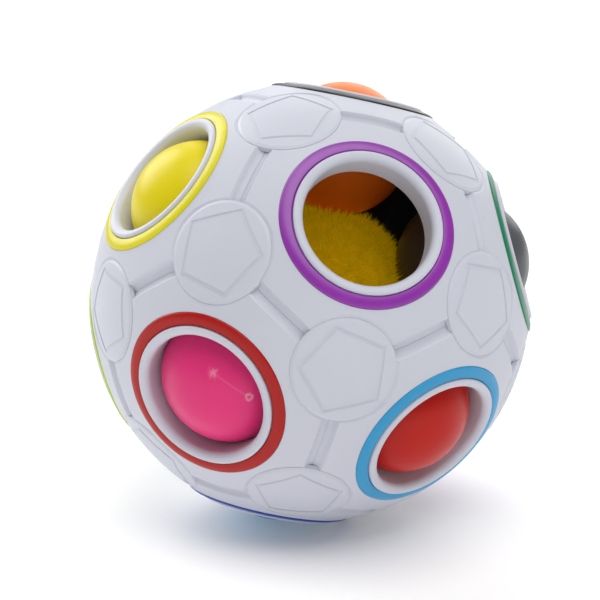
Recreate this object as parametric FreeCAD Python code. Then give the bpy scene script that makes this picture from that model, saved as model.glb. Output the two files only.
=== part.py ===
import FreeCAD, Part
import math
import os

# Rainbow ball puzzle: a hollow sphere of twelve face panels, held at their corners by twenty round
# snap-in caps. Each panel has a round hole with a raised lip and a coloured ring round it. Eleven
# balls, a little wider than the holes, sit in the holes from inside, pressed outward by a soft core.
#
# Frame: origin at the sphere's centre, +Z up, as the ball lies on a table with the blue ring down.

# ---------------------------------------------------------------------------------------------
# Driving dimensions, millimetres. "z" here runs outward along a hole's own axis, or a corner's.
# ---------------------------------------------------------------------------------------------
shell_r = 35.0
shell_wall = 2.4
seam_half_gap = 0.02

hole_r = 9.7
seat_z = 29.5
lip_round = 1.0
lip_crest_z = 33.67
lip_outer_r = 11.25
lip_outer_z = 33.36

ring_inner_r = 11.30
ring_outer_r = 13.15
ring_inner_z = 33.22
ring_outer_z = 32.76
ring_crown = 0.16
ring_edge_round = 0.25
ring_seat_z = 31.30
ring_play = 0.05

land_r = 15.5
land_z = 32.60
land_root_z = 31.0

collar_foot_r = 11.6
collar_shoulder_r = 12.8
collar_shoulder_z = 30.4
collar_root_r = 14.0

slot_half_width = 1.10
slot_depth = 0.95
slot_shoulder = 0.30

cap_r = 7.74
cap_proud = 0.08
cap_play = 0.01
cap_floor_z = 33.3
rim_slope_width = 0.45
rim_slope_drop = 0.16
pentagon_r = 6.56
pentagon_line_steps = [(0.62, 0.05), (0.30, 0.10)]

boss_r = 4.4
boss_inner_z = 31.0
stem_r = 2.40
stem_play = 0.05
snap_head_r = 3.3
snap_head_tip_r = 2.1
snap_head_tip_z = 29.2
snap_slit_width = 0.8

ball_r = 10.6
ball_centre_z = 25.15
core_r = 15.8
core_dent_play = 0.05

# How the ball lies: its top hole leans from the vertical, towards a heading round +Z, and the whole
# pattern is spun about the top hole's axis first. Degrees.
lean = 14.89
heading = 37.47
spin = -46.13

# Holes are named by their rings: one on top, five in an upper row, five in a lower row half a step
# round, and one underneath.
top_hole = "black"
upper_row = ["green", "orange", "pink", "yellow", "purple"]
lower_row = ["brown", "white", "lime", "red", "light_blue"]
bottom_hole = "blue"

# The ball that sits in each hole. The purple hole is the empty one.
ball_in_hole = {
    "yellow": "yellow",
    "red": "pink",
    "light_blue": "red",
    "green": "black",
    "black": "orange",
    "lime": "brown",
    "blue": "light_blue",
    "orange": "blue",
    "pink": "lime",
    "brown": "purple",
    "white": "green",
}

# The corner caps' pentagons follow a five-fold pattern about two opposite holes.
pattern_poles = ["light_blue", "pink"]

# ---------------------------------------------------------------------------------------------
# Regular layout of twelve holes
# ---------------------------------------------------------------------------------------------
step = 72.0
row_polar_angle = math.degrees(math.atan(2.0))
half_hole_angle = row_polar_angle / 2.0
corner_tangent = math.tan(math.radians(half_hole_angle)) / math.cos(math.radians(36.0))
corner_angle = math.degrees(math.atan(corner_tangent))

origin = FreeCAD.Vector(0, 0, 0)
up = FreeCAD.Vector(0, 0, 1)
stance = FreeCAD.Rotation(up, heading).multiply(
    FreeCAD.Rotation(FreeCAD.Vector(0, 1, 0), lean)
).multiply(FreeCAD.Rotation(up, spin))


def direction(polar, azimuth):
    """Unit vector at a polar angle from +Z and an azimuth about it, turned into the ball's stance."""
    p = math.radians(polar)
    a = math.radians(azimuth)
    local = FreeCAD.Vector(math.sin(p) * math.cos(a), math.sin(p) * math.sin(a), math.cos(p))
    return stance.multVec(local)


hole_axis = {top_hole: direction(0.0, 0.0), bottom_hole: direction(180.0, 0.0)}
for index, name in enumerate(upper_row):
    hole_axis[name] = direction(row_polar_angle, index * step)
for index, name in enumerate(lower_row):
    hole_axis[name] = direction(180.0 - row_polar_angle, (index + 0.5) * step)


def adjacent(first, second):
    """True if two holes are neighbours: their axes are then about 63 degrees apart."""
    return 0.4 < hole_axis[first].dot(hole_axis[second]) < 0.5


def frame_along(axis, towards):
    """Placement with its Z along axis and its X on the side of the direction towards."""
    x_axis = (towards - axis * towards.dot(axis)).normalize()
    rotation = FreeCAD.Rotation(x_axis, axis.cross(x_axis), axis, "ZXY")
    return FreeCAD.Placement(origin, rotation)


def placed(shape, placement):
    """A copy of shape, moved by placement."""
    moved = shape.copy()
    moved.Placement = placement.multiply(moved.Placement)
    return moved


# ---------------------------------------------------------------------------------------------
# Small drawing helpers. A turned profile is a list of edges in the half plane of radius and height.
# ---------------------------------------------------------------------------------------------
def at(radius, height):
    return FreeCAD.Vector(radius, 0, height)


def line(start, end):
    return Part.LineSegment(at(*start), at(*end)).toShape()


def arc(start, middle, end):
    return Part.Arc(at(*start), at(*middle), at(*end)).toShape()


def polyline(points):
    return [line(first, second) for first, second in zip(points, points[1:])]


def turned(edges):
    """Solid made by turning a closed profile once about Z."""
    face = Part.Face(Part.Wire(edges))
    return face.revolve(origin, up, 360)


def on_circle(radius, degrees, height):
    angle = math.radians(degrees)
    return FreeCAD.Vector(radius * math.cos(angle), radius * math.sin(angle), height)


def ball_with_side_poles(radius):
    """Sphere whose poles lie on X and whose seam faces down, so that its top is smooth."""
    quarter_turn = FreeCAD.Rotation(FreeCAD.Vector(0, 1, 0), 90)
    return placed(Part.makeSphere(radius), FreeCAD.Placement(origin, quarter_turn))


def prism_of_five(circumradius, bottom, top):
    """Upright five-sided prism with a corner on +X."""
    corners = [on_circle(circumradius, k * step, bottom) for k in range(5)]
    outline = Part.makePolygon(corners + [corners[0]])
    return Part.Face(outline).extrude(up * (top - bottom))


def around_five(shape):
    """Five copies of shape, a fifth of a turn apart about Z."""
    return [placed(shape, FreeCAD.Placement(origin, FreeCAD.Rotation(up, k * step))) for k in range(5)]


# ---------------------------------------------------------------------------------------------
# Face panel, drawn with its hole on +Z and a neighbouring hole towards +X
# ---------------------------------------------------------------------------------------------
def panel_wedge():
    """Five-sided pyramid from the centre, a seam gap inside the planes between neighbouring panels."""
    apex_lift = seam_half_gap / math.sin(math.radians(half_hole_angle))
    height = 1.3 * shell_r
    spread = height * math.tan(math.radians(corner_angle))
    corners = [on_circle(spread, 36.0 + k * step, height + apex_lift) for k in range(5)]
    apex = FreeCAD.Vector(0, 0, apex_lift)
    faces = [Part.Face(Part.makePolygon(corners + [corners[0]]))]
    for k in range(5):
        following = corners[(k + 1) % 5]
        faces.append(Part.Face(Part.makePolygon([apex, corners[k], following, apex])))
    return Part.Solid(Part.Shell(faces))


def collar():
    """Turned wall of the hole: a seat for the ball below, a bed for the ring, and a rounded lip."""
    blend = lip_round * (1.0 - math.sqrt(0.5))
    crest_r = hole_r + lip_round
    crest = (crest_r, lip_crest_z)
    bore_top = (hole_r, lip_crest_z - lip_round)
    return turned(
        polyline([
            bore_top,
            (hole_r, seat_z),
            (collar_foot_r, seat_z),
            (collar_shoulder_r, collar_shoulder_z),
            (collar_root_r, collar_shoulder_z),
            (collar_root_r, ring_seat_z),
            (lip_outer_r, ring_seat_z),
            (lip_outer_r, lip_outer_z),
        ])
        + [
            arc((lip_outer_r, lip_outer_z), (crest_r + 0.38, lip_crest_z - 0.07), crest),
            arc(crest, (hole_r + blend, lip_crest_z - blend), bore_top),
        ]
    )


def ring_land():
    """Low cone that lifts the panel's face a little towards the ring."""
    return turned(polyline([
        (ring_outer_r, land_root_z),
        (land_r - 0.6, land_root_z),
        (land_r, math.sqrt(shell_r ** 2 - land_r ** 2)),
        (ring_outer_r, land_z),
        (ring_outer_r, land_root_z),
    ]))


def ring_groove():
    """Space for the coloured ring, open outward."""
    return turned(polyline([
        (lip_outer_r, ring_seat_z),
        (ring_outer_r + ring_play, ring_seat_z),
        (ring_outer_r + ring_play, shell_r + 2.0),
        (lip_outer_r, shell_r + 2.0),
        (lip_outer_r, ring_seat_z),
    ]))


def cap_recess():
    """Round pocket for a corner cap, with a gently sloping rim and a hole for its stem."""
    pocket_r = cap_r + cap_play
    rim_r = pocket_r + rim_slope_width
    pocket = turned(polyline([
        (0, cap_floor_z),
        (pocket_r, cap_floor_z),
        (pocket_r, math.sqrt(shell_r ** 2 - pocket_r ** 2) - rim_slope_drop),
        (rim_r, math.sqrt(shell_r ** 2 - rim_r ** 2) + 0.01),
        (rim_r, shell_r + 2.0),
        (0, shell_r + 2.0),
        (0, cap_floor_z),
    ]))
    stem_hole_length = shell_r - boss_inner_z + 4.0
    stem_hole = Part.makeCylinder(stem_r + stem_play, stem_hole_length, at(0, boss_inner_z - 2.0))
    return pocket.fuse(stem_hole)


def at_corner(shape):
    """Tips a shape drawn on +Z over to the panel's first corner."""
    tip = FreeCAD.Rotation(up, 36.0).multiply(FreeCAD.Rotation(FreeCAD.Vector(0, 1, 0), corner_angle))
    return placed(shape, FreeCAD.Placement(origin, tip))


def slot_cutter():
    """Channel along the seam towards +X, with a round floor and eased edges, turned about the centre.

    Its section is drawn on the side of +X, with height across the seam, so that turning it about Z
    sweeps the equator; it is then tipped into the plane between two panels.
    """
    floor_r = shell_r - slot_depth
    shoulder_r = shell_r - slot_shoulder
    edge = slot_half_width + slot_shoulder
    clear_r = shell_r + 2.0
    ease = slot_shoulder * 0.35
    half_floor = (floor_r + 0.30 * slot_depth, 0.72 * slot_half_width)
    section = [
        line((clear_r, -edge), (shell_r - 0.01, -edge)),
        arc((shell_r - 0.01, -edge), (shell_r - ease, -edge + ease), (shoulder_r, -slot_half_width)),
        arc((shoulder_r, -slot_half_width), (half_floor[0], -half_floor[1]), (floor_r, 0.0)),
        arc((floor_r, 0.0), half_floor, (shoulder_r, slot_half_width)),
        arc((shoulder_r, slot_half_width), (shell_r - ease, edge - ease), (shell_r - 0.01, edge)),
        line((shell_r - 0.01, edge), (clear_r, edge)),
        line((clear_r, edge), (clear_r, -edge)),
    ]
    tip = FreeCAD.Rotation(FreeCAD.Vector(0, 1, 0), 90.0 + half_hole_angle)
    return placed(turned(section), FreeCAD.Placement(origin, tip))


def face_panel():
    shell = Part.makeSphere(shell_r).cut(Part.makeSphere(shell_r - shell_wall))
    boss = at_corner(Part.makeCylinder(boss_r, cap_floor_z - boss_inner_z, at(0, boss_inner_z)))
    body = shell.fuse(around_five(boss)).common(panel_wedge())
    body = body.cut(Part.makeCylinder(lip_outer_r + 0.5, 2.0 * shell_r, origin))
    body = body.fuse([collar(), ring_land()])
    body = body.cut(ring_groove())
    body = body.cut(around_five(slot_cutter()))
    body = body.cut(around_five(at_corner(cap_recess())))
    return body.removeSplitter().Solids[0]


# ---------------------------------------------------------------------------------------------
# Corner cap, drawn on +Z with a corner of its engraved pentagon towards +X
# ---------------------------------------------------------------------------------------------
def corner_cap():
    """Round cap on a stem that passes between three panels and snaps behind their bosses."""
    face_r = shell_r + cap_proud
    flat_r = cap_r - rim_slope_width
    disc = turned(polyline([
        (0, cap_floor_z + stem_play),
        (cap_r, cap_floor_z + stem_play),
        (cap_r, math.sqrt(face_r ** 2 - cap_r ** 2) - rim_slope_drop),
        (flat_r, math.sqrt(face_r ** 2 - flat_r ** 2)),
        (0, face_r + 2.0),
        (0, cap_floor_z + stem_play),
    ]))
    disc = disc.common(ball_with_side_poles(face_r))
    for width, depth in pentagon_line_steps:
        half_width = width / 2.0 / math.cos(math.radians(36.0))
        outer = prism_of_five(pentagon_r + half_width, cap_floor_z, shell_r + 1.0)
        inner = prism_of_five(pentagon_r - half_width, cap_floor_z, shell_r + 1.0)
        disc = disc.cut(outer.cut(inner).cut(ball_with_side_poles(face_r - depth)))

    head_z = boss_inner_z - stem_play
    stem = turned(polyline([
        (0, cap_floor_z + 0.5),
        (stem_r, cap_floor_z + 0.5),
        (stem_r, head_z),
        (snap_head_r, head_z),
        (snap_head_r, head_z - 0.4),
        (snap_head_tip_r, snap_head_tip_z),
        (0, snap_head_tip_z),
        (0, cap_floor_z + 0.5),
    ]))
    slit = Part.makeBox(
        snap_slit_width,
        4.0 * snap_head_r,
        boss_inner_z + 1.2 - snap_head_tip_z + 1.0,
        FreeCAD.Vector(-snap_slit_width / 2.0, -2.0 * snap_head_r, snap_head_tip_z - 1.0),
    )
    return disc.fuse(stem.cut(slit)).removeSplitter().Solids[0]


# ---------------------------------------------------------------------------------------------
# Coloured ring, ball and core
# ---------------------------------------------------------------------------------------------
def coloured_ring():
    """Ring with a slightly crowned, sloping top that stands just proud of the shell."""
    middle = ((ring_inner_r + ring_outer_r) / 2.0, (ring_inner_z + ring_outer_z) / 2.0)
    slope = math.atan2(ring_inner_z - ring_outer_z, ring_outer_r - ring_inner_r)
    crown = (middle[0] + ring_crown * math.sin(slope), middle[1] + ring_crown * math.cos(slope))
    bottom_z = ring_seat_z + ring_play
    ring = turned(
        polyline([
            (ring_inner_r, ring_inner_z),
            (ring_inner_r, bottom_z),
            (ring_outer_r, bottom_z),
            (ring_outer_r, ring_outer_z),
        ])
        + [arc((ring_outer_r, ring_outer_z), crown, (ring_inner_r, ring_inner_z))]
    )
    level_edges = [edge for edge in ring.Edges if edge.BoundBox.ZLength < 0.01]
    top_edges = [edge for edge in level_edges if edge.BoundBox.ZMin > ring_seat_z + 1.0]
    return ring.makeFillet(ring_edge_round, top_edges)


def puzzle_ball(hole, play=0.0):
    return Part.makeSphere(ball_r + play, hole_axis[hole] * ball_centre_z)


def soft_core():
    """Soft sphere, dented by the balls that press on it."""
    dents = [puzzle_ball(hole, core_dent_play) for hole in sorted(ball_in_hole)]
    return Part.makeSphere(core_r).cut(dents).Solids[0]


# ---------------------------------------------------------------------------------------------
# Assembly
# ---------------------------------------------------------------------------------------------
def corners_of_ball():
    """Every corner: its three holes, sorted, as a list in a fixed order."""
    holes = sorted(hole_axis)
    found = []
    for i, first in enumerate(holes):
        for j in range(i + 1, len(holes)):
            for k in range(j + 1, len(holes)):
                second, third = holes[j], holes[k]
                if adjacent(first, second) and adjacent(second, third) and adjacent(first, third):
                    found.append((first, second, third))
    return found


def pentagon_points_to(holes):
    """The one of three holes that the cap's pentagon points a corner at."""
    for hole in holes:
        if hole in pattern_poles:
            return hole
    near_first_pole = [hole for hole in holes if adjacent(hole, pattern_poles[0])]
    near_second_pole = [hole for hole in holes if adjacent(hole, pattern_poles[1])]
    return near_first_pole[0] if len(near_first_pole) == 1 else near_second_pole[0]


def build_parts():
    """Every sub-part by node name."""
    parts = {}
    panel = face_panel()
    ring = coloured_ring()
    for hole in sorted(hole_axis):
        neighbour = next(other for other in sorted(hole_axis) if adjacent(hole, other))
        place = frame_along(hole_axis[hole], hole_axis[neighbour])
        parts["face_panel_" + hole] = placed(panel, place)
        parts["ring_" + hole] = placed(ring, place)
    cap = corner_cap()
    for number, holes in enumerate(corners_of_ball(), start=1):
        axis = (hole_axis[holes[0]] + hole_axis[holes[1]] + hole_axis[holes[2]]).normalize()
        place = frame_along(axis, hole_axis[pentagon_points_to(holes)])
        parts["corner_cap_%02d" % number] = placed(cap, place)
    for hole, colour in ball_in_hole.items():
        parts["ball_" + colour] = puzzle_ball(hole)
    parts["fluffy_core"] = soft_core()
    return parts


os.makedirs("parts", exist_ok=True)
for node, shape in build_parts().items():
    shape.exportStep("parts/" + node + ".step")
    print(node, "solids", len(shape.Solids), "valid", shape.isValid(), "volume mm3 %.1f" % shape.Volume)
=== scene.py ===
import math

import bpy
import numpy as np
from mathutils import Matrix, Vector


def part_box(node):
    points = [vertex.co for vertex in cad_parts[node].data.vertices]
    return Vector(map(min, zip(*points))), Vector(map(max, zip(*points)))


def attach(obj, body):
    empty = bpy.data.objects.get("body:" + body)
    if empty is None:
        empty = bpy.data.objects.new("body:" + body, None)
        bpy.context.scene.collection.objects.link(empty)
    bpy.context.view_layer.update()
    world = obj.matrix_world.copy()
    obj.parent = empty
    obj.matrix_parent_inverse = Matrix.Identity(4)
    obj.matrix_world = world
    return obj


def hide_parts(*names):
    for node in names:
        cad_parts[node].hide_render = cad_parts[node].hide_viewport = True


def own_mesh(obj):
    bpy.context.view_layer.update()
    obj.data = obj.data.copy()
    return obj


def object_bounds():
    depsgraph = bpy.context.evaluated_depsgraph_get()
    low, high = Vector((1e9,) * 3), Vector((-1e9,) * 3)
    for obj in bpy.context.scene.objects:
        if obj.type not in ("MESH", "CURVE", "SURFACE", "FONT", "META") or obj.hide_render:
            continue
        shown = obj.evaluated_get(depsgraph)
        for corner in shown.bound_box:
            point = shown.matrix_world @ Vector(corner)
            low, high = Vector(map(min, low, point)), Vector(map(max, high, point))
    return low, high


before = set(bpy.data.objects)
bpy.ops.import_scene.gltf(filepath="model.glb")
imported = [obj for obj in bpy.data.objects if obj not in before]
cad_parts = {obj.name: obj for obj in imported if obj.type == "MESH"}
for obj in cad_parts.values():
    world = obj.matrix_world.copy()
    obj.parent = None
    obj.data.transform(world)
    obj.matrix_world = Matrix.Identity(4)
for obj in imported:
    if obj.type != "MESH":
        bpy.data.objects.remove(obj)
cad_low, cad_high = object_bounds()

# Rainbow ball puzzle. The shell, caps, rings and balls are the CAD parts with moulded-plastic
# materials. The core is remade as a soft pile in twelve patches, each pressed in by its own ball.

mm = 0.001
scene = bpy.context.scene
scene.view_settings.view_transform = "Standard"

ball_nodes = sorted(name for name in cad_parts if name.startswith("ball_"))
ring_nodes = sorted(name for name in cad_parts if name.startswith("ring_"))
panel_nodes = sorted(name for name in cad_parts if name.startswith("face_panel_"))
cap_nodes = sorted(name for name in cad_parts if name.startswith("corner_cap_"))


def centre_of(node):
    low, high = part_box(node)
    return (low + high) / 2


def unit(vector):
    return vector / np.linalg.norm(vector)


# Each hole's axis, from the middle of its ring; and the ball that sits in each hole.
hole_axis = {name.removeprefix("ring_"): unit(np.array(centre_of(name))) for name in ring_nodes}
holes = sorted(hole_axis)
ball_centre = {name: np.array(centre_of(name)) for name in ball_nodes}
ball_low, ball_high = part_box(ball_nodes[0])
ball_radius = max(ball_high - ball_low) / 2
seat_distance = float(np.linalg.norm(ball_centre[ball_nodes[0]]))


def ball_of(hole):
    """The ball at rest in a hole, or None for the empty one."""
    for name, centre in ball_centre.items():
        if unit(centre) @ hole_axis[hole] > 0.99:
            return name
    return None


empty_hole = next(hole for hole in holes if ball_of(hole) is None)


# ---------------------------------------------------------------------------------------------
# Materials
# ---------------------------------------------------------------------------------------------
def srgb(red, green, blue):
    """Linear colour from display values between 0 and 255."""
    def linear(value):
        share = value / 255.0
        return share / 12.92 if share <= 0.04045 else ((share + 0.055) / 1.055) ** 2.4
    return (linear(red), linear(green), linear(blue), 1.0)


def node_in(tree, kind, **settings):
    node = tree.nodes.new(kind)
    for name, value in settings.items():
        setattr(node, name, value)
    return node


def math_of(tree, operation, first, second=None, third=None):
    """A math node over values or sockets."""
    node = node_in(tree, "ShaderNodeMath", operation=operation)
    for socket, value in zip(node.inputs, (first, second, third)):
        if value is None:
            continue
        if isinstance(value, (int, float)):
            socket.default_value = value
        else:
            tree.links.new(value, socket)
    return node.outputs[0]


def noise(tree, coordinates, scale, detail=3.0):
    """Noise around 0.5, with this many waves to the metre."""
    texture = node_in(tree, "ShaderNodeTexNoise")
    texture.inputs["Scale"].default_value = scale
    texture.inputs["Detail"].default_value = detail
    tree.links.new(coordinates, texture.inputs["Vector"])
    return texture.outputs["Fac"]


def ranged(tree, value, low, high, from_low=0.3, from_high=0.7):
    """Value mapped from its usual spread to low..high."""
    node = node_in(tree, "ShaderNodeMapRange")
    node.inputs["From Min"].default_value = from_low
    node.inputs["From Max"].default_value = from_high
    node.inputs["To Min"].default_value = low
    node.inputs["To Max"].default_value = high
    tree.links.new(value, node.inputs["Value"])
    return node.outputs["Result"]


def between(tree, factor, first, second):
    """Colour mixed from first to second, each a colour or a socket."""
    node = node_in(tree, "ShaderNodeMix", data_type="RGBA")
    for name, value in (("A", first), ("B", second)):
        if isinstance(value, tuple):
            node.inputs[name].default_value = value
        else:
            tree.links.new(value, node.inputs[name])
    tree.links.new(factor, node.inputs["Factor"])
    return node.outputs["Result"]


def scaled(colour, factor):
    """Colour made lighter or darker."""
    return tuple(min(1.0, channel * factor) for channel in colour[:3]) + (1.0,)


def distance_to(tree, place, point):
    """Distance of the shaded place from a point."""
    node = node_in(tree, "ShaderNodeVectorMath", operation="DISTANCE")
    tree.links.new(place, node.inputs[0])
    node.inputs[1].default_value = tuple(point)
    return node.outputs["Value"]


def height_over(tree, place, normal, origin):
    """Signed distance from the plane through origin."""
    moved = node_in(tree, "ShaderNodeVectorMath", operation="SUBTRACT")
    tree.links.new(place, moved.inputs[0])
    moved.inputs[1].default_value = tuple(origin)
    node = node_in(tree, "ShaderNodeVectorMath", operation="DOT_PRODUCT")
    tree.links.new(moved.outputs["Vector"], node.inputs[0])
    node.inputs[1].default_value = tuple(normal)
    return node.outputs["Value"]


# Where the marks lie about the hole's axis, as polar angle and azimuth in degrees, and their sizes.
star_place = (30.7, 65.8)
gate_place = (44.4, 11.9)
star_reach = 1.2 * mm
gate_ring_radius = 0.42 * mm
gate_ring_half_width = 0.34 * mm
mark_line_half_width = 0.20 * mm
mark_edge = 0.05 * mm
mark_paleness = {"star": 0.26, "gate": 0.32, "line": 0.07}


def mould_marks(tree, place, centre, star, gate):
    """Paleness and height of a ball's mould marks: a star, a gate ring and the line between."""
    star_point = centre + star * ball_radius
    gate_point = centre + gate * ball_radius
    wobble = ranged(tree, noise(tree, place, 2400.0, 3.0), -0.35, 0.35)

    from_star = distance_to(tree, place, star_point)
    uneven = math_of(tree, "MULTIPLY_ADD", wobble, 1.0 * mm, from_star)
    star_glow = ranged(tree, uneven, 1.0, 0.0, 0.1 * mm, star_reach)
    star_glow = math_of(tree, "POWER", star_glow, 1.8)

    from_gate = distance_to(tree, place, gate_point)
    uneven = math_of(tree, "MULTIPLY_ADD", wobble, 0.35 * mm, from_gate)
    off_ring = math_of(tree, "ABSOLUTE", math_of(tree, "SUBTRACT", uneven, gate_ring_radius))
    gate_ring = ranged(tree, off_ring, 1.0, 0.0, mark_edge, gate_ring_half_width)

    plane = unit(np.cross(star, gate))
    off_line = math_of(tree, "ABSOLUTE", height_over(tree, place, plane, centre))
    line = ranged(tree, off_line, 1.0, 0.0, mark_edge, mark_line_half_width)
    middle = centre + unit(star + gate) * ball_radius
    reach = float(np.linalg.norm(star_point - middle))
    near = ranged(tree, distance_to(tree, place, middle), 1.0, 0.0, reach * 0.9, reach)
    line = math_of(tree, "MULTIPLY", line, near)

    pale = math_of(tree, "MULTIPLY", star_glow, mark_paleness["star"])
    for mark, paleness in ((gate_ring, mark_paleness["gate"]), (line, mark_paleness["line"])):
        pale = math_of(tree, "MAXIMUM", pale, math_of(tree, "MULTIPLY", mark, paleness))
    raised = math_of(tree, "MAXIMUM", gate_ring, math_of(tree, "MULTIPLY", line, 0.25))
    return pale, raised


bump_depth = 0.06 * mm
mark_colour = srgb(250, 214, 226)


def moulded_plastic(name, colour, roughness, specular, mottle=0.04, marks=None):
    """Satin injection-moulded plastic: slightly uneven colour and gloss over a fine texture."""
    material = bpy.data.materials.new(name)
    material.use_nodes = True
    tree = material.node_tree
    shader = tree.nodes["Principled BSDF"]
    place = node_in(tree, "ShaderNodeTexCoord").outputs["Object"]

    flow = ranged(tree, noise(tree, place, 55.0, 4.0), 0.0, 1.0)
    tint = between(tree, flow, scaled(colour, 1.0 - mottle), scaled(colour, 1.0 + mottle))

    fine = noise(tree, place, 5200.0, 2.0)
    waves = noise(tree, place, 160.0, 2.0)
    height = math_of(tree, "MULTIPLY_ADD", fine, 0.25, waves)
    if marks:
        pale, raised = mould_marks(tree, place, *marks)
        tint = between(tree, pale, tint, mark_colour)
        height = math_of(tree, "MULTIPLY_ADD", raised, 1.2, height)
    tree.links.new(tint, shader.inputs["Base Color"])

    gloss = noise(tree, place, 420.0, 3.0)
    tree.links.new(ranged(tree, gloss, roughness - 0.05, roughness + 0.05), shader.inputs["Roughness"])

    bump = node_in(tree, "ShaderNodeBump")
    bump.inputs["Strength"].default_value = 0.25
    bump.inputs["Distance"].default_value = bump_depth
    tree.links.new(height, bump.inputs["Height"])
    tree.links.new(bump.outputs["Normal"], shader.inputs["Normal"])
    shader.inputs["Specular IOR Level"].default_value = specular
    return material


# The pile's colour runs from root to tip between these distances from the core's centre; the darker
# root colour is painted shade among the fibres.
painted_root_shade_radius = 14.2 * mm
tip_colour_radius = 17.0 * mm


def pile_material(name, root, tip):
    """Soft fibres: painted shade darkens them at the root, paler and fuzzier at the tip, and a faint
    glow paints in light caught inside.
    """
    material = bpy.data.materials.new(name)
    material.use_nodes = True
    tree = material.node_tree
    shader = tree.nodes["Principled BSDF"]
    place = node_in(tree, "ShaderNodeTexCoord").outputs["Object"]
    length = node_in(tree, "ShaderNodeVectorMath", operation="LENGTH")
    tree.links.new(place, length.inputs[0])
    radius = length.outputs["Value"]
    height = ranged(tree, radius, 0.0, 1.0, painted_root_shade_radius, tip_colour_radius)
    colour = between(tree, height, root, tip)
    clumps = ranged(tree, noise(tree, place, 700.0, 3.0), 0.80, 1.10)
    mixed = node_in(tree, "ShaderNodeMix", data_type="RGBA", blend_type="MULTIPLY")
    mixed.inputs["Factor"].default_value = 1.0
    tree.links.new(colour, mixed.inputs["A"])
    tree.links.new(clumps, mixed.inputs["B"])
    tree.links.new(mixed.outputs["Result"], shader.inputs["Base Color"])
    shader.inputs["Roughness"].default_value = 0.9
    shader.inputs["Specular IOR Level"].default_value = 0.1
    shader.inputs["Sheen Weight"].default_value = 0.25
    shader.inputs["Sheen Roughness"].default_value = 0.5
    shader.inputs["Sheen Tint"].default_value = (1.0, 0.85, 0.2, 1.0)
    # A faint yellow glow paints in light caught inside the core; the pile is no lamp.
    shader.inputs["Emission Color"].default_value = srgb(255, 212, 0)
    shader.inputs["Emission Strength"].default_value = 0.11
    return material


white = srgb(203, 205, 216)
ring_colours = {
    "purple": srgb(140, 38, 162),
    "red": srgb(172, 10, 4),
    "yellow": srgb(216, 206, 20),
    "light_blue": srgb(50, 152, 202),
    "green": srgb(6, 122, 84),
    "black": srgb(34, 34, 36),
    "lime": srgb(184, 206, 46),
    "blue": srgb(34, 70, 164),
    "orange": srgb(242, 118, 24),
    "pink": srgb(222, 70, 138),
    "brown": srgb(112, 66, 42),
    "white": srgb(238, 238, 240),
}
ball_colours = {
    "yellow": srgb(228, 210, 20),
    "pink": srgb(224, 50, 118),
    "red": srgb(188, 20, 6),
    "black": srgb(82, 83, 88),
    "orange": srgb(248, 120, 24),
    "purple": srgb(122, 36, 150),
    "light_blue": srgb(60, 160, 214),
    "green": srgb(14, 130, 90),
    "lime": srgb(184, 212, 50),
    "brown": srgb(116, 70, 44),
    "blue": srgb(40, 52, 104),
}


def paint(node, material):
    """Gives a CAD node's object this material."""
    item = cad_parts[node]
    if not item.material_slots:
        item.data.materials.append(material)
    for used in item.material_slots:
        used.material = material


def around(axis, polar, azimuth):
    """Unit vector at a polar angle from axis, and an azimuth about it counted from the +X side."""
    x_axis = unit(np.array((1.0, 0.0, 0.0)) - axis * axis[0])
    y_axis = np.cross(axis, x_axis)
    p, a = math.radians(polar), math.radians(azimuth)
    return axis * math.cos(p) + (x_axis * math.cos(a) + y_axis * math.sin(a)) * math.sin(p)


shell_finish = {"specular": 0.35, "mottle": 0.012}
shell_material = moulded_plastic("white_satin", white, roughness=0.46, **shell_finish)
cap_material = moulded_plastic("white_satin_caps", white, roughness=0.44, **shell_finish)
for name in panel_nodes:
    paint(name, shell_material)
for name in cap_nodes:
    paint(name, cap_material)
for name in ring_nodes:
    hole = name.removeprefix("ring_")
    # The purple ring gets more gloss, chosen for the bright highlight on it.
    specular = 0.65 if hole == "purple" else 0.3
    paint(name, moulded_plastic(name + "_satin", ring_colours[hole], roughness=0.34, specular=specular))
for name in ball_nodes:
    colour = ball_colours[name.removeprefix("ball_")]
    centre = ball_centre[name]
    star = around(unit(centre), *star_place)
    gate = around(unit(centre), *gate_place)
    marks = (centre, star, gate) if name == "ball_pink" else None
    paint(name, moulded_plastic(name + "_gloss", colour, roughness=0.36, specular=0.25, marks=marks))
# The darker first colour is painted shade at the fibres' roots.
pile = pile_material("yellow_pile", srgb(200, 148, 4), srgb(252, 228, 8))


# ---------------------------------------------------------------------------------------------
# Soft core
# ---------------------------------------------------------------------------------------------
pile_length = 2.0 * mm
pile_tip_radius = 17.3 * mm
skin_least_radius = 12.2 * mm
patch_inner_radius = 9.0 * mm
root_sunk = 0.3 * mm
pile_to_ball = 0.25 * mm
fibre_to_ball = 0.12 * mm
fibre_width = (0.035 * mm, 0.060 * mm)
coarse_fibre = 1.5
fibre_height = (0.55, 1.08)
fibre_lean = 0.38 * mm
clump_lean = 0.30 * mm
fibre_bow = 0.12 * mm
skin_ripple = 0.12 * mm
# Half the angle between the axes of neighbouring holes.
half_way = math.radians(63.435 / 2)

axes = np.array([hole_axis[hole] for hole in holes])
centres = np.array([ball_centre[name] for name in ball_nodes])


def reach_of(directions):
    """How far the pile's tips reach along each direction before they meet a ball."""
    along = directions @ centres.T
    clear = ball_radius + pile_to_ball
    inside = along ** 2 - (seat_distance ** 2 - clear ** 2)
    meeting = np.where((inside > 0) & (along > 0), along - np.sqrt(np.maximum(inside, 0)), 1.0)
    return np.minimum(meeting.min(axis=1), pile_tip_radius)


def skin_of(directions):
    """Distance of the skin that the pile grows from."""
    ripple = skin_ripple * np.sin(directions @ np.array((24.6, 13.8, 21.0)))
    return np.maximum(reach_of(directions) - pile_length, skin_least_radius) + ripple


def are_neighbours(first, second):
    """Whether two holes lie side by side: their axes are then 63.4 degrees apart."""
    return 0.3 < first @ second < 0.6


def basis(axis):
    """Two unit vectors square to an axis and to each other."""
    x_axis = unit(np.cross(axis, (0.31, 0.62, 0.71)))
    return x_axis, np.cross(axis, x_axis)


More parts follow.
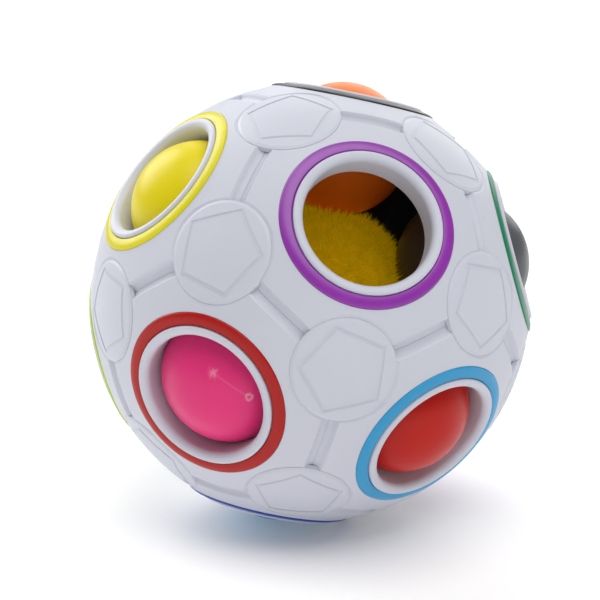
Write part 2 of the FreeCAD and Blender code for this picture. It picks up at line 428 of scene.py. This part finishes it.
def skin_patch(hole, rows=14, columns=80):
    """Closed five-sided patch of skin about a hole's axis, with walls that run towards the centre."""
    axis = hole_axis[hole]
    x_axis, y_axis = basis(axis)
    angles = np.arange(columns) * 2 * math.pi / columns
    spokes = np.outer(np.cos(angles), x_axis) + np.outer(np.sin(angles), y_axis)
    neighbours = [other for other in axes if are_neighbours(other, axis)]
    toward = np.array([unit(other - axis * (other @ axis)) for other in neighbours])
    edge = np.arctan(math.tan(half_way) / (spokes @ toward.T).max(axis=1))
    points = [axis * float(skin_of(axis[None])[0])]
    for row in range(1, rows + 1):
        slant = edge * row / rows
        directions = np.cos(slant)[:, None] * axis + np.sin(slant)[:, None] * spokes
        points.extend(directions * skin_of(directions)[:, None])
    directions = np.cos(edge)[:, None] * axis + np.sin(edge)[:, None] * spokes
    points.extend(directions * patch_inner_radius)
    points.append(axis * patch_inner_radius)
    faces = []
    for column in range(columns):
        after = (column + 1) % columns
        faces.append((0, 1 + column, 1 + after))
        for row in range(rows):
            a = 1 + row * columns
            faces.append((a + column, a + columns + column, a + columns + after, a + after))
        last = 1 + rows * columns
        faces.append((last + column, len(points) - 1, last + after))
    return np.array(points), faces


def spread_directions(count, seed):
    """Evenly spread directions over the sphere, each moved a little at random."""
    numbers = np.arange(count) + 0.5
    z = 1 - 2 * numbers / count
    turn = numbers * math.pi * (3 - math.sqrt(5))
    ring = np.sqrt(1 - z * z)
    even = np.stack((ring * np.cos(turn), ring * np.sin(turn), z), axis=1)
    shaken = even + np.random.default_rng(seed).normal(0, 0.9 / math.sqrt(count), even.shape)
    return shaken / np.linalg.norm(shaken, axis=1)[:, None]


def fibres(hole, density, seed):
    """Tapered three-sided fibres that stand on a patch, lean at random and part round the balls."""
    axis = hole_axis[hole]
    directions = spread_directions(12 * density, seed)
    directions = directions[(directions @ axes.T).argmax(axis=1) == holes.index(hole)]
    count = len(directions)
    chance = np.random.default_rng(seed + 1)
    reach = reach_of(directions)
    root = directions * (skin_of(directions) - root_sunk)[:, None]
    height = reach - pile_length + pile_length * chance.uniform(*fibre_height, count)
    lean = chance.normal(0, fibre_lean, (count, 3))
    clump = np.sin(directions @ chance.normal(0, 14, (3, 3))) * clump_lean
    lean += clump
    lean -= directions * (lean * directions).sum(axis=1)[:, None]
    tip = directions * height[:, None] + lean
    middle = (root + tip) / 2 - lean * 0.22 + directions * fibre_bow
    for part in (middle, tip):
        for centre in centres:
            away = part - centre
            far = np.linalg.norm(away, axis=1)
            near = far < ball_radius + fibre_to_ball
            part[near] = centre + away[near] * ((ball_radius + fibre_to_ball) / far[near])[:, None]
    x_axis = np.cross(directions, (0.2, 0.5, 0.8))
    x_axis /= np.linalg.norm(x_axis, axis=1)[:, None]
    y_axis = np.cross(directions, x_axis)
    turn = chance.uniform(0, 2 * math.pi, count)
    width = chance.uniform(*fibre_width, count)
    if hole != empty_hole:
        width *= coarse_fibre
    rings = []
    for centre_line, share in ((root, 1.0), (middle, 0.85)):
        for side in range(3):
            angle = turn + side * 2 * math.pi / 3
            offset = np.cos(angle)[:, None] * x_axis + np.sin(angle)[:, None] * y_axis
            rings.append(centre_line + offset * (width * share)[:, None])
    points = np.stack(rings + [tip], axis=1).reshape(-1, 3)
    faces = []
    for index in range(count):
        a = index * 7
        for side in range(3):
            after = (side + 1) % 3
            faces.append((a + side, a + after, a + 3 + after, a + 3 + side))
            faces.append((a + 3 + side, a + 3 + after, a + 6))
    return points, faces


# Each patch gets the most fibres under the open hole, fewer beside it and fewest where a ball covers
# it.
fibres_in_patch = {"open": 9000, "beside_open": 1300, "covered": 450}
for index, hole in enumerate(holes):
    if hole == empty_hole:
        density = fibres_in_patch["open"]
    elif are_neighbours(hole_axis[hole], hole_axis[empty_hole]):
        density = fibres_in_patch["beside_open"]
    else:
        density = fibres_in_patch["covered"]
    skin_points, skin_faces = skin_patch(hole)
    fibre_points, fibre_faces = fibres(hole, density, 100 + index * 7)
    shift = len(skin_points)
    faces = skin_faces + [tuple(corner + shift for corner in face) for face in fibre_faces]
    mesh = bpy.data.meshes.new("pile_" + hole)
    mesh.from_pydata(np.concatenate((skin_points, fibre_points)).tolist(), [], faces)
    mesh.polygons.foreach_set("use_smooth", [True] * len(mesh.polygons))
    mesh.materials.append(pile)
    patch = bpy.data.objects.new("pile_" + hole, mesh)
    scene.collection.objects.link(patch)
    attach(patch, "shell")
    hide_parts("fluffy_core")
    ball = ball_of(hole)
    if ball is None:
        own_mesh(patch)
    elif ball != "ball_yellow":
        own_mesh(patch)


# ---------------------------------------------------------------------------------------------
# Floor, light and camera
# ---------------------------------------------------------------------------------------------
shell_radius = 35.0 * mm
floor_z = cad_low.z
floor_size = 6.0
camera_elevation = math.radians(13.0)
camera_distance = 8.193 * shell_radius
camera_shift = Vector((-0.0473, 0.0089)) * shell_radius
camera_lens = 106.94

right = Vector((1, 0, 0))
above = Vector((0, math.sin(camera_elevation), math.cos(camera_elevation)))
back = Vector((0, -math.cos(camera_elevation), math.sin(camera_elevation)))

camera_data = bpy.data.cameras.new("camera")
camera_data.lens = camera_lens
camera_data.sensor_width = 36.0
camera_data.clip_start = 0.01
camera = bpy.data.objects.new("camera", camera_data)
camera.matrix_world = Matrix((right, above, back)).transposed().to_4x4()
camera.location = right * camera_shift.x + above * camera_shift.y + back * camera_distance
scene.collection.objects.link(camera)
scene.camera = camera


def floor_material():
    """Pale paper that glows a little, so that its shadows stay soft."""
    material = bpy.data.materials.new("paper_white")
    material.use_nodes = True
    tree = material.node_tree
    shader = tree.nodes["Principled BSDF"]
    place = node_in(tree, "ShaderNodeTexCoord").outputs["Object"]
    pale, paler = (0.88, 0.88, 0.88, 1.0), (0.90, 0.90, 0.90, 1.0)
    fibre_tint = between(tree, ranged(tree, noise(tree, place, 30.0), 0.0, 1.0), pale, paler)
    tree.links.new(fibre_tint, shader.inputs["Base Color"])
    shader.inputs["Roughness"].default_value = 0.9
    shader.inputs["Specular IOR Level"].default_value = 0.1
    shader.inputs["Emission Color"].default_value = (1.0, 0.99, 0.98, 1.0)
    shader.inputs["Emission Strength"].default_value = 0.14
    return material


bpy.ops.mesh.primitive_plane_add(size=floor_size, location=(0, 0, floor_z))
floor = bpy.context.object
floor.name = "floor"
floor.data.materials.append(floor_material())


def soft_sun(name, direction, strength, spread):
    """Even light from a wide patch of sky, so that the floor is lit alike near and far."""
    data = bpy.data.lights.new(name, "SUN")
    data.energy = strength
    data.angle = math.radians(spread)
    lamp = bpy.data.objects.new(name, data)
    lamp.rotation_euler = (-Vector(direction)).to_track_quat("-Z", "Y").to_euler()
    scene.collection.objects.link(lamp)


soft_sun("overhead", (0.18, -0.30, 1.0), 2.0, 55.0)
soft_sun("back_left", (-0.90, 0.80, 0.75), 1.85, 45.0)
soft_sun("back_right", (0.50, 1.60, 0.85), 1.0, 50.0)

world = bpy.data.worlds.new("studio")
world.use_nodes = True
world.node_tree.nodes["Background"].inputs["Color"].default_value = (1.0, 1.0, 1.0, 1.0)
world.node_tree.nodes["Background"].inputs["Strength"].default_value = 0.24
scene.world = world
